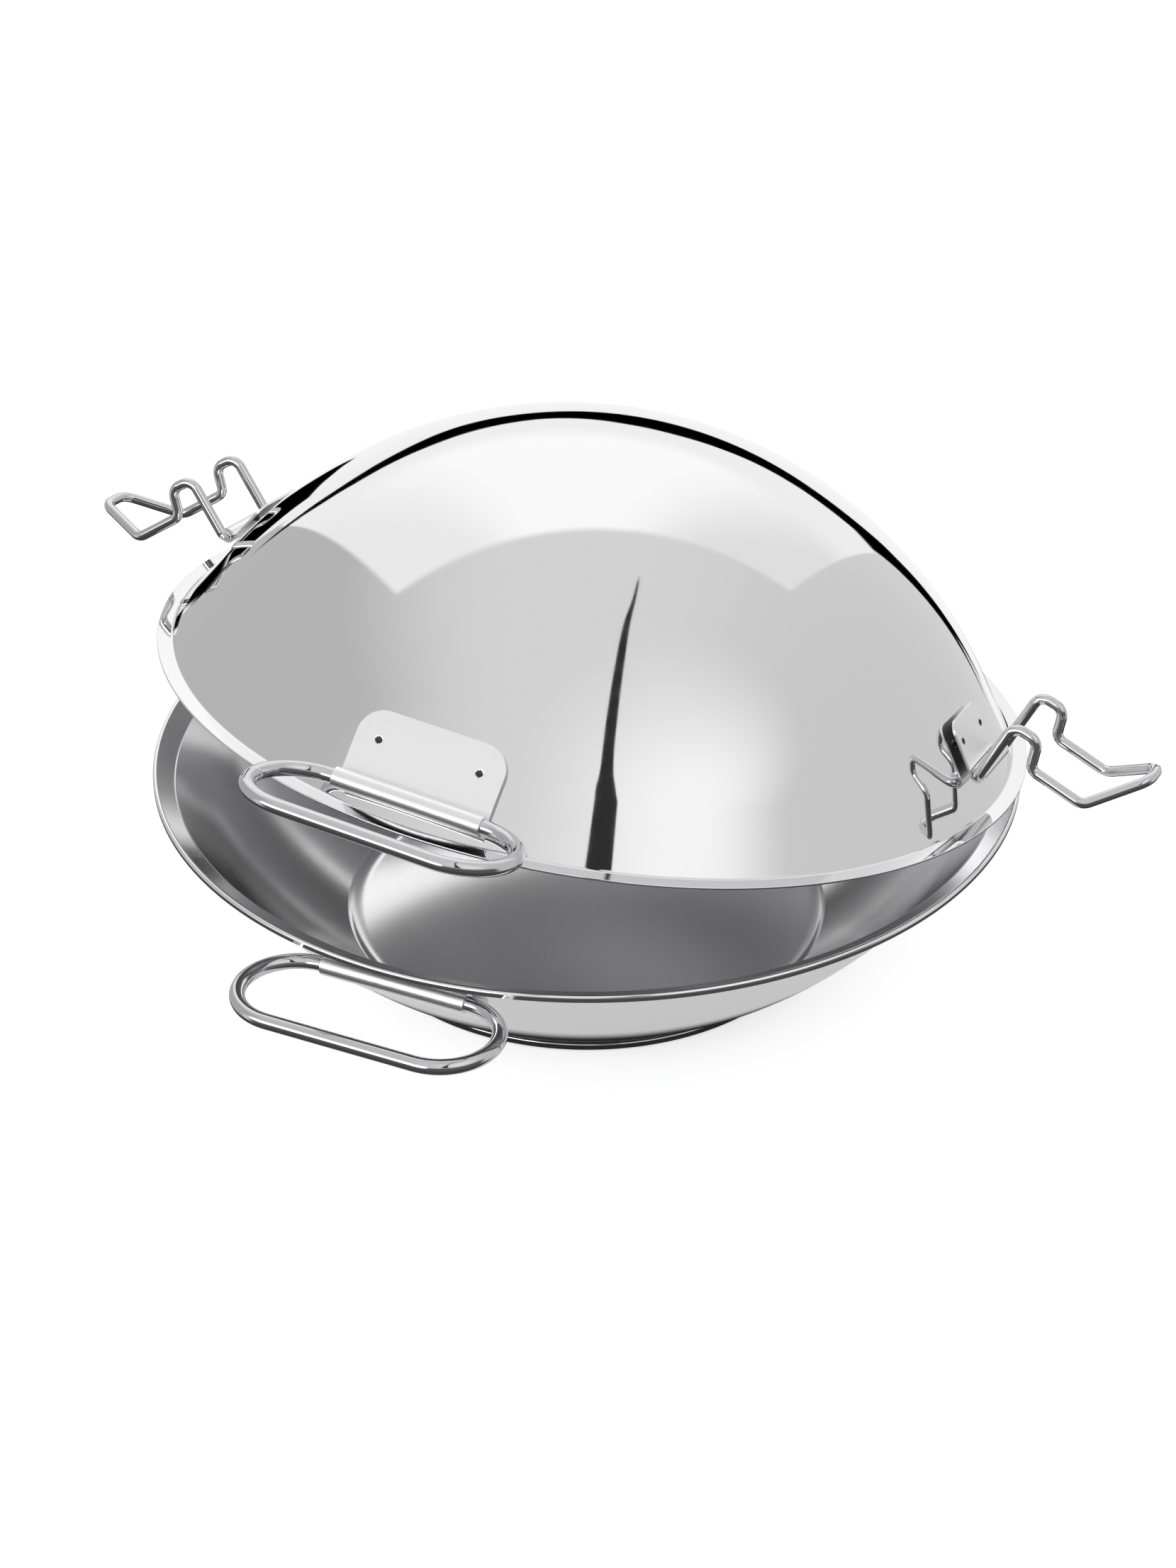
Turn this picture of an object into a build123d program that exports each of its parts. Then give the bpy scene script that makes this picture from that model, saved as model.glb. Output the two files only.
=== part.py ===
from build123d import *
from math import asin, atan2, cos, degrees, radians, sin, sqrt, tan
import os

# A steel cataplana: a shallow pan on an impact-bonded base, and a domed lid that clips down on it.
# Millimetres, +Z up. The origin is the centre of the base's underside, which stands on the table.
# The carrying handles lie along Y, the front pair towards -Y, and the two lid clips along X.

# Both shells are pressed from one gauge of sheet and share one rim size.
SHEET = 0.8
RIM_RADIUS = 150.0

# The pan, measured down from its rim: a flared flange, a conical wall, a dished side and a flat floor.
PAN_FLANGE_WIDTH = 7.5
PAN_FLANGE_ANGLE = 27.0
PAN_LIP_DROP = 2.3
PAN_LIP_BEND = 1.0
PAN_WALL_ANGLE = 54.4
PAN_WALL_LENGTH = 23.3
PAN_FLOOR_RADIUS = 79.4
PAN_FLOOR_BEND = 12.0
PAN_ROOT_BEND = 2.0

# The lid, measured up from its rim: a flat flange, a conical wall and a dome that is round right over.
LID_FLANGE_WIDTH = 5.2
LID_WALL_ANGLE = 56.0
LID_WALL_LENGTH = 21.5
LID_ROOT_BEND = 1.2
EDGE_ROUND = 0.25

# The base disc: an aluminium core under the pan's floor, inside a thin steel cap.
DISC_RADIUS = 83.0
DISC_HEIGHT = 4.5
DISC_SIDE = 2.5
DISC_CORNER = 1.0
CAP_SHEET = 0.5

# Handles: a closed wire loop held in the rolled edge of a plate that is spot-welded to the wall.
HANDLE_WIRE = 5.0
HANDLE_DEPTH = 36.0
HANDLE_LEAD = 0.2
HANDLE_BARREL = 50.2
HANDLE_PLATE_HEIGHT = 24.7
HANDLE_PLATE_CORNER = 8.5
HANDLE_WELD_SPACING = 34.4
HANDLE_WELD_HEIGHT = 15.2
HANDLE_AXIS_HEIGHT = 8.7
LID_HANDLE_RISE = 6.0
PAN_HANDLE_RISE = 2.5

# Clips: one bent wire whose two ends turn in the rolled edge of a smaller plate on the lid.
CLIP_WIRE = 3.6
CLIP_BARREL = 26.0
CLIP_LEAD = 0.15
CLIP_ARM_BEND = 0.3
CLIP_GRIP = 10.0
CLIP_PLATE_HEIGHT = 19.0
CLIP_PLATE_CORNER = 4.0
CLIP_WELD_SPACING = 18.4
CLIP_WELD_HEIGHT = 11.5
CLIP_AXIS_HEIGHT = 14.2
CLIP_STAND_OFF = 1.2
CLIP_TIP_WIDTH = 12.0

# One arm of a clip seen from the side: how far out and up from its pivot each bend lies, and its radius.
CLIP_HUMP_IN = (8.2, 21.5)
CLIP_HUMP_OUT = (16.9, 18.9)
CLIP_NOTCH = (16.5, 8.8)
CLIP_CORNER = (35.3, 2.4)
CLIP_TIP = (52.8, 13.4)
HUMP_BEND = 4.0
NOTCH_BEND = 3.4
CORNER_BEND = 5.0
TIP_BEND = 6.0

# Plates, welds and clearances shared by the handles and the clips.
PLATE_SHEET = 0.8
WELD_GAP = 0.3
WELD_RADIUS = 1.5
WELD_DEPTH = 0.45
ROLL_SEAM_ANGLE = 35.0
FIXED_CLEAR = 0.05
TURNING_CLEAR = 0.05

# How the loose lid lies in the photograph: tipped open about the far right of the rim, slid a little out.
SEAT_GAP = 0.3
LID_AJAR = 10.0
LID_LOW_SIDE = 57.3
LID_SLIP = 1.3
LEFT_CLIP_SWING = -20.6


def cross(start, angle, other_start, other_angle):
    """Point where two lines meet, each given by a point and an angle in degrees."""
    dx, dy = cos(radians(angle)), sin(radians(angle))
    ex, ey = cos(radians(other_angle)), sin(radians(other_angle))
    wx, wy = other_start[0] - start[0], other_start[1] - start[1]
    step = (wx * ey - wy * ex) / (dx * ey - dy * ex)
    return (start[0] + step * dx, start[1] + step * dy)


def polar(centre, radius, angle):
    """Point on a circle, the angle in degrees from its vertical towards growing radius."""
    return (centre[0] + radius * sin(radians(angle)), centre[1] + radius * cos(radians(angle)))


class Bowl:
    """Section of a pressed bowl, in radius and height over its rim plane, its crown round or flat."""

    def __init__(self, foot, wall_angle, wall_length, crown_radius=0, crown_bend=0):
        self.foot = foot
        self.angle = wall_angle
        tangent = polar(foot, wall_length, wall_angle - 90)
        self.dome = tangent[0] / sin(radians(wall_angle))
        self.dome_centre = (0.0, tangent[1] - self.dome * cos(radians(wall_angle)))
        reach = self.dome - crown_bend
        self.bend = crown_bend
        self.bend_angle = degrees(asin(crown_radius / reach))
        self.bend_centre = (crown_radius, self.dome_centre[1] + sqrt(reach**2 - crown_radius**2))
        self.height = self.bend_centre[1] + crown_bend

    def wall(self, inset):
        """A point on the wall's line, the given distance in from its outer face."""
        return polar(self.foot, -inset, self.angle)

    def over_wall(self, height, offset):
        """Radius of a point at a height, held the given distance off the wall's outer face."""
        return cross(self.wall(-offset), 180 - self.angle, (0, height), 0)[0]

    def upward(self, inset):
        """Draws one face of the sheet from the wall's head to the axis and returns its two ends."""
        dome = self.dome - inset
        middle = (self.angle + self.bend_angle) / 2
        head = polar(self.dome_centre, dome, self.angle)
        shoulder = polar(self.dome_centre, dome, self.bend_angle)
        ThreePointArc(head, polar(self.dome_centre, dome, middle), shoulder)
        if not self.bend:
            return head, shoulder
        bend = self.bend - inset
        crown_edge = polar(self.bend_centre, bend, 0)
        crown = (0.0, crown_edge[1])
        ThreePointArc(shoulder, polar(self.bend_centre, bend, self.bend_angle / 2), crown_edge)
        Line(crown_edge, crown)
        return head, crown


def round_corner(section, point, radius):
    """Rounds the corner of a flat section that lies at a point, in radius and height."""
    corner = section.vertices().sort_by_distance(Vector(*point))[0]
    fillet(corner, radius)


def lid_bowl():
    foot = (RIM_RADIUS - LID_FLANGE_WIDTH, SHEET)
    return Bowl(foot, LID_WALL_ANGLE, LID_WALL_LENGTH)


def pan_flange():
    """Bend centre of the pan's lip, and the flange's upper line as a point and an inner end."""
    centre = (RIM_RADIUS - PAN_LIP_BEND, PAN_LIP_BEND)
    start = polar(centre, -PAN_LIP_BEND, PAN_FLANGE_ANGLE)
    inner = RIM_RADIUS - PAN_FLANGE_WIDTH
    root = (inner, start[1] + (start[0] - inner) * tan(radians(PAN_FLANGE_ANGLE)))
    return centre, start, root


def pan_bowl():
    """The pan's section upside down, so that heights are depths below its rim."""
    root = pan_flange()[2]
    foot = polar(root, SHEET, PAN_WALL_ANGLE)
    return Bowl(foot, PAN_WALL_ANGLE, PAN_WALL_LENGTH, PAN_FLOOR_RADIUS, PAN_FLOOR_BEND)


def lid_shell():
    """Lid with its rim plane at zero: flange flat, wall and dome above it, one sheet thick."""
    bowl = lid_bowl()
    inside = cross(bowl.wall(SHEET), 180 - bowl.angle, (0, 0), 0)
    with BuildPart() as part:
        with BuildSketch(Plane.XZ) as section:
            with BuildLine():
                head, crown = bowl.upward(0)
                inner_head, inner_crown = bowl.upward(SHEET)
                Line(crown, inner_crown)
                Polyline(head, bowl.foot, (RIM_RADIUS, SHEET), (RIM_RADIUS, 0), inside, inner_head)
            make_face()
            round_corner(section, bowl.foot, LID_ROOT_BEND)
            round_corner(section, inside, LID_ROOT_BEND + SHEET)
            round_corner(section, (RIM_RADIUS, SHEET), EDGE_ROUND)
            round_corner(section, (RIM_RADIUS, 0), EDGE_ROUND)
        revolve(axis=Axis.Z)
    return part.part


def pan_shell():
    """Pan upside down, rim plane at zero: flared flange with a turned lip, wall, side and floor."""
    bowl = pan_bowl()
    centre, start, root = pan_flange()
    inner_bend = PAN_LIP_BEND - SHEET
    under = polar(centre, -inner_bend, PAN_FLANGE_ANGLE)
    outer_root = cross(under, 180 - PAN_FLANGE_ANGLE, bowl.foot, 180 - bowl.angle)
    lip_middle = polar(centre, PAN_LIP_BEND, 135 + PAN_FLANGE_ANGLE / 2)
    under_middle = polar(centre, inner_bend, 135 + PAN_FLANGE_ANGLE / 2)
    outer_edge = (RIM_RADIUS, PAN_LIP_BEND)
    inner_edge = (RIM_RADIUS - SHEET, PAN_LIP_BEND)
    lip_end = (RIM_RADIUS, PAN_LIP_DROP)
    lip_inner_end = (RIM_RADIUS - SHEET, PAN_LIP_DROP)
    with BuildPart() as part:
        with BuildSketch(Plane.XZ) as section:
            with BuildLine():
                head, floor = bowl.upward(0)
                inner_head, inner_floor = bowl.upward(SHEET)
                Line(floor, inner_floor)
                Polyline(inner_head, root, start)
                ThreePointArc(start, lip_middle, outer_edge)
                Polyline(outer_edge, lip_end, lip_inner_end, inner_edge)
                ThreePointArc(inner_edge, under_middle, under)
                Polyline(under, outer_root, head)
            make_face()
            round_corner(section, root, PAN_ROOT_BEND + SHEET)
            round_corner(section, outer_root, PAN_ROOT_BEND)
        revolve(axis=Axis.Z)
    return part.part


def disc_section(inset):
    """Half outline of the base disc, drawn in by a sheet's thickness at its foot, side and shoulder."""
    shoulder = degrees(atan2(DISC_HEIGHT - DISC_SIDE, PAN_FLOOR_RADIUS - DISC_RADIUS))
    start = polar((DISC_RADIUS, DISC_SIDE), -inset, 180 - shoulder)
    side = cross(start, shoulder, (DISC_RADIUS - inset, 0), 90)
    top = cross(start, shoulder, (0, DISC_HEIGHT), 0)
    return (0, inset), (DISC_RADIUS - inset, inset), side, top, (0, DISC_HEIGHT)


def disc_blank(inset):
    """The disc as one solid of revolution, its lower corner rounded."""
    points = disc_section(inset)
    with BuildPart() as part:
        with BuildSketch(Plane.XZ) as section:
            with BuildLine():
                Polyline(*points, close=True)
            make_face()
            round_corner(section, points[1], DISC_CORNER - inset / 2)
        revolve(axis=Axis.Z)
    return part.part


def fixture_axis(bowl, height, wire, clearance, stand_off):
    """Radius and height of a rolled edge's axis over the bowl, seated off the wall."""
    roll = wire / 2 + clearance + PLATE_SHEET
    return bowl.over_wall(height, roll + stand_off), height


def wall_plane(bowl, axis_point, azimuth):
    """Plane of a plate on the wall: X along the rim, Y up the wall, Z away from it."""
    outward = Vector(cos(radians(azimuth)), sin(radians(azimuth)), 0)
    normal = outward * sin(radians(bowl.angle)) + Vector(0, 0, cos(radians(bowl.angle)))
    along = Vector(-outward.Y, outward.X, 0)
    return Plane(outward * axis_point[0] + Vector(0, 0, axis_point[1]), along, normal)


def weld_gap(bowl, axis_point, spacing, weld_height, stand_off):
    """Least distance between the flat plate and the round wall over one of its weld points."""
    radius = axis_point[0] - weld_height * cos(radians(bowl.angle))
    curve = radius / sin(radians(bowl.angle))
    return stand_off + curve - sqrt(curve**2 - (spacing / 2 - WELD_RADIUS) ** 2)


def rolled_plate(wire, clearance, width, height, corner, spacing, weld_height, gap):
    """Flat plate whose lower edge rolls round a wire and ends at a slit over it, with two weld dimples."""
    bore = wire / 2 + clearance
    roll = bore + PLATE_SHEET
    with BuildPart() as part:
        with BuildSketch(Plane.XY.offset(-roll)) as outline:
            with Locations((0, height / 2)):
                Rectangle(width, height)
            fillet(outline.vertices().group_by(Axis.Y)[-1], corner)
        extrude(amount=PLATE_SHEET)
        with BuildSketch(Plane.YZ.offset(-width / 2)):
            Circle(roll)
        extrude(amount=width)
        with BuildSketch(Plane.YZ.offset(-width / 2)):
            Circle(bore)
        extrude(amount=width, mode=Mode.SUBTRACT)
        with BuildSketch(Plane.YZ.offset(-width / 2)):
            with BuildLine():
                Polyline((0, 0), (bore / tan(radians(ROLL_SEAM_ANGLE)), -bore), (0, -bore), close=True)
            make_face()
        extrude(amount=width, mode=Mode.SUBTRACT)
        welds = [(-spacing / 2, weld_height), (spacing / 2, weld_height)]
        with Locations(*[(x, y, -roll) for x, y in welds]):
            Cylinder(WELD_RADIUS, gap - WELD_GAP, align=(Align.CENTER, Align.CENTER, Align.MAX))
        with Locations(*[(x, y, -roll + PLATE_SHEET) for x, y in welds]):
            Cone(WELD_RADIUS / 2, WELD_RADIUS, WELD_DEPTH,
                 align=(Align.CENTER, Align.CENTER, Align.MAX), mode=Mode.SUBTRACT)
    return part.part


def handle_loop():
    """Closed wire loop, its inner run on the X axis and its bight along +Y."""
    half_run = HANDLE_BARREL / 2 + HANDLE_LEAD
    bend = HANDLE_DEPTH / 2
    with BuildPart() as part:
        with BuildLine():
            Line((-half_run, 0), (half_run, 0))
            ThreePointArc((half_run, 0), (half_run + bend, bend), (half_run, HANDLE_DEPTH))
            Line((half_run, HANDLE_DEPTH), (-half_run, HANDLE_DEPTH))
            ThreePointArc((-half_run, HANDLE_DEPTH), (-half_run - bend, bend), (-half_run, 0))
        with BuildSketch(Plane((-half_run, 0, 0), (0, 1, 0), (1, 0, 0))):
            Circle(HANDLE_WIRE / 2)
        sweep()
    return part.part


def clip_wire():
    """Bent clip wire, its pivot on the X axis, out along +Y and up along +Z."""
    arm_bend = CLIP_WIRE / 2 + CLIP_ARM_BEND
    arm = CLIP_BARREL / 2 + CLIP_LEAD + arm_bend
    tip = CLIP_TIP_WIDTH / 2
    side = [(0, 0), CLIP_HUMP_IN, CLIP_HUMP_OUT, CLIP_NOTCH, CLIP_CORNER]
    radii = [arm_bend, HUMP_BEND, HUMP_BEND, NOTCH_BEND, CORNER_BEND, TIP_BEND]
    half = [(CLIP_BARREL / 2 - CLIP_GRIP, 0, 0)]
    half += [(arm, out, up) for out, up in side]
    half += [(tip, *CLIP_TIP)]
    path = half + [(-x, y, z) for x, y, z in reversed(half)]
    with BuildPart() as part:
        with BuildLine():
            FilletPolyline(*path, radius=radii + radii[::-1])
        with BuildSketch(Plane(path[0], (0, 1, 0), (1, 0, 0))):
            Circle(CLIP_WIRE / 2)
        sweep()
    return part.part


def handle_pieces(bowl, azimuth, rise):
    """Plate and loop of one handle on a bowl."""
    point = fixture_axis(bowl, HANDLE_AXIS_HEIGHT, HANDLE_WIRE, FIXED_CLEAR, WELD_GAP)
    gap = weld_gap(bowl, point, HANDLE_WELD_SPACING, HANDLE_WELD_HEIGHT, WELD_GAP)
    plate = rolled_plate(HANDLE_WIRE, FIXED_CLEAR, HANDLE_BARREL, HANDLE_PLATE_HEIGHT,
                         HANDLE_PLATE_CORNER, HANDLE_WELD_SPACING, HANDLE_WELD_HEIGHT, gap)
    loop = Rot(0, 0, azimuth) * Pos(point[0], 0, point[1]) * Rot(0, -rise, 0) * Rot(0, 0, -90)
    return wall_plane(bowl, point, azimuth).location * plate, loop * handle_loop()


def clip_pieces(bowl, azimuth, swing):
    """Plate and wire of one clip on the lid, the wire swung from level by an angle."""
    point = fixture_axis(bowl, CLIP_AXIS_HEIGHT, CLIP_WIRE, TURNING_CLEAR, CLIP_STAND_OFF)
    gap = weld_gap(bowl, point, CLIP_WELD_SPACING, CLIP_WELD_HEIGHT, CLIP_STAND_OFF)
    plate = rolled_plate(CLIP_WIRE, TURNING_CLEAR, CLIP_BARREL, CLIP_PLATE_HEIGHT,
                         CLIP_PLATE_CORNER, CLIP_WELD_SPACING, CLIP_WELD_HEIGHT, gap)
    wire = Rot(0, 0, azimuth) * Pos(point[0], 0, point[1]) * Rot(0, -swing, 0) * Rot(0, 0, -90)
    return wall_plane(bowl, point, azimuth).location * plate, wire * clip_wire()


def ajar(shape, rim_height):
    """Sets a lid piece on the closed rim, then tips it open about the rim's low side."""
    axis_radius = RIM_RADIUS + LID_SLIP / 2
    axis_drop = LID_SLIP / 2 / tan(radians(LID_AJAR / 2))
    low_side = Vector(cos(radians(LID_LOW_SIDE)), sin(radians(LID_LOW_SIDE)), 0)
    origin = low_side * axis_radius + Vector(0, 0, rim_height + SEAT_GAP - axis_drop)
    axis = Axis(origin, Vector(-low_side.Y, low_side.X, 0))
    return shape.moved(Location((0, 0, rim_height + SEAT_GAP))).rotate(axis, LID_AJAR)


def build():
    """Every piece by name, placed as photographed."""
    pan = pan_bowl()
    lid = lid_bowl()
    rim_height = DISC_HEIGHT + pan.height
    upright = Location((0, 0, rim_height)) * Rot(180, 0, 0)
    pieces = {"base_pan": upright * pan_shell()}
    pieces["base_disc_core"] = disc_blank(CAP_SHEET)
    pieces["base_disc_cap"] = disc_blank(0) - disc_blank(CAP_SHEET)
    for name, azimuth in {"front": -90, "rear": 90}.items():
        plate, loop = handle_pieces(pan, -azimuth, -PAN_HANDLE_RISE)
        pieces[f"base_{name}_handle_plate"] = upright * plate
        pieces[f"base_{name}_handle"] = upright * loop
    lid_pieces = {"lid_shell": lid_shell()}
    for name, azimuth in {"front": -90, "rear": 90}.items():
        plate, loop = handle_pieces(lid, azimuth, LID_HANDLE_RISE)
        lid_pieces[f"lid_{name}_handle_plate"] = plate
        lid_pieces[f"lid_{name}_handle"] = loop
    for name, azimuth, swing in (("right", 0, 0), ("left", 180, LEFT_CLIP_SWING)):
        plate, wire = clip_pieces(lid, azimuth, swing)
        lid_pieces[f"{name}_clip_plate"] = plate
        lid_pieces[f"{name}_clip"] = wire
    for name, piece in lid_pieces.items():
        pieces[name] = ajar(piece, rim_height)
    return pieces


os.makedirs("parts", exist_ok=True)
for name, piece in build().items():
    export_step(piece, f"parts/{name}.step")
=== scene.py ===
import math

import bpy
import numpy as np
from mathutils import Matrix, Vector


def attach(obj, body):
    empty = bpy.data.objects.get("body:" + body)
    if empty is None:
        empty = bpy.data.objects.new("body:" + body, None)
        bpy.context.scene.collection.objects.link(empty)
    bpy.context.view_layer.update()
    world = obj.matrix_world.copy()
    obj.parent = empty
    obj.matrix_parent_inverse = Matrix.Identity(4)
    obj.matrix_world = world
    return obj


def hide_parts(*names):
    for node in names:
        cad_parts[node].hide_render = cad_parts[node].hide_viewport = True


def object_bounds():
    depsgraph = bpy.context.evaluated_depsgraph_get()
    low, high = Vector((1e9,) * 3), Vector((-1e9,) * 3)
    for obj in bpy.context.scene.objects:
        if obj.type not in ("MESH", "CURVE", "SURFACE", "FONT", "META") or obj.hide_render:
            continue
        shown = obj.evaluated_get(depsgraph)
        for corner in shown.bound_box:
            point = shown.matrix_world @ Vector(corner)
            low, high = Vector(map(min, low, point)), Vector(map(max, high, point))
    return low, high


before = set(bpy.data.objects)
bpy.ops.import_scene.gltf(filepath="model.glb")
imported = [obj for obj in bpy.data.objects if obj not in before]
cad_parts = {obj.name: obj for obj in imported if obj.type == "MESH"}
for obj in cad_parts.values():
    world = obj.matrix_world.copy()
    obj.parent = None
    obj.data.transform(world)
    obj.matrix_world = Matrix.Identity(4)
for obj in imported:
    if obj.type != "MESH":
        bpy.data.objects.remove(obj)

CAD_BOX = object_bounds()

# ---- Camera -------------------------------------------------------------------------------------
# A short telephoto lens about a metre away, looking down at the pan past its front left clip. The
# pan's own front, where the near handles are, is turned a little to the camera's left.
VIEW_TURN = math.radians(24.5)
VIEW_RISE = math.radians(31.642)
VIEW_ROLL = -0.003
VIEW_DISTANCE = 1.04446
VIEW_TARGET = np.array([0.000419, 0.0, 0.054479])
LENS_MM = 68.35


def about_z(angle):
    """Rotation about the vertical: x turns towards y by the angle."""
    c, s = math.cos(angle), math.sin(angle)
    return np.array([[c, -s, 0.0], [s, c, 0.0], [0.0, 0.0, 1.0]])


turn = about_z(VIEW_TURN)
right = turn @ np.array([1.0, 0.0, 0.0])
back = turn @ np.array([0.0, -math.cos(VIEW_RISE), math.sin(VIEW_RISE)])
up = np.cross(back, right)
rolled_right = math.cos(VIEW_ROLL) * right - math.sin(VIEW_ROLL) * up
rolled_up = math.sin(VIEW_ROLL) * right + math.cos(VIEW_ROLL) * up
place = Matrix.Identity(4)
for row in range(3):
    place[row][0], place[row][1], place[row][2] = rolled_right[row], rolled_up[row], back[row]
    place[row][3] = (turn @ VIEW_TARGET + back * VIEW_DISTANCE)[row]
lens = bpy.data.cameras.new("studio_camera")
lens.lens = LENS_MM
camera = bpy.data.objects.new("studio_camera", lens)
camera.matrix_world = place
bpy.context.scene.collection.objects.link(camera)
bpy.context.scene.camera = camera

# ---- Studio -------------------------------------------------------------------------------------
# A seamless white table, lit from all round by white cloth: a wide panel overhead and behind, a soft
# lamp in front, and dark gaps where the panels don't meet, which the polished steel shows as lines.


def linear(hexcode):
    """An sRGB hex colour as linear light with full alpha."""
    parts = [int(hexcode[i:i + 2], 16) / 255 for i in (1, 3, 5)]
    return [v / 12.92 if v <= 0.04045 else ((v + 0.055) / 1.055) ** 2.4 for v in parts] + [1.0]


def node(tree, kind, settings=(), **links):
    """Adds a node. Settings are its properties; links name inputs by label or i0, i1 for sockets in order."""
    made = tree.nodes.new(kind)
    for name, value in dict(settings).items():
        setattr(made, name, value)
    for name, value in links.items():
        plain = name.replace("_", " ")
        socket = made.inputs[int(name[1:])] if name[0] == "i" and name[1:].isdigit() else made.inputs[plain]
        if isinstance(value, bpy.types.NodeSocket):
            tree.links.new(value, socket)
        else:
            socket.default_value = value
    return made


bpy.context.scene.view_settings.view_transform = "Standard"
studio = bpy.data.worlds.new("white_studio")
studio.use_nodes = True
bpy.context.scene.world = studio
sky = studio.node_tree
sky.nodes.clear()


look = node(sky, "ShaderNodeTexCoord").outputs["Generated"]
facing = node(sky, "ShaderNodeMapping", {"vector_type": "POINT"}, Vector=look,
              Rotation=(0.0, 0.0, -VIEW_TURN)).outputs[0]
away = node(sky, "ShaderNodeSeparateXYZ", i0=facing)
DEGREE = math.degrees(1)
# Heights of the dark bar's edges and of the posts' sides, as read points: bearing and rise in degrees.
BAR_TOP = [(-30, -0.5), (-27, 6), (-24, 9), (-20, 10.3), (-14, 10), (-10, 8.8), (-5, 7.3), (-1, 6.5),
           (2, 6.9), (5, 7.7), (8, 7.8), (12, 6.8), (16, 5), (20, 3.5), (24, 1.8), (28.5, -5)]
BAR_FOOT = [(-30, -0.5), (-28, 2), (-25, 5), (-21, 6.5), (-17, 5.8), (-13, 4), (-10, 2), (-7, 0.5),
            (-3, -0.3), (3, -1.5), (8, -2), (18, -2.5), (21, -4), (23, -8), (28.5, -20)]
UPRIGHT_NEAR, UPRIGHT_FAR = [(-20, 24.0), (-8, 23.2), (0, 22.6)], [(-20, 25.2), (-8, 28.4), (0, 28.7)]
POST_LEFT = [(-23, -14), (-17.5, -20), (-13, -24.5), (-10, -26.5), (-5, -25), (-1.5, -21.5)]
POST_RIGHT = [(-23, -10), (-15, -12), (-12, -11.5), (-8, -14), (-4, -18), (-1.5, -20.5)]
# The front gap's middle and half width, read at its height on the plane one unit overhead.
GAP_MIDDLE = [(-1, 0.243), (-0.75, 0.215), (-0.45, 0.205), (-0.1, 0.215), (0.2, 0.25), (0.31, 0.262)]
GAP_HALF = [(-1, 0.072), (-0.85, 0.052), (-0.7, 0.031), (-0.4, 0.022), (0, 0.012), (0.2, 0.004), (0.31, 0.002)]
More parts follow.
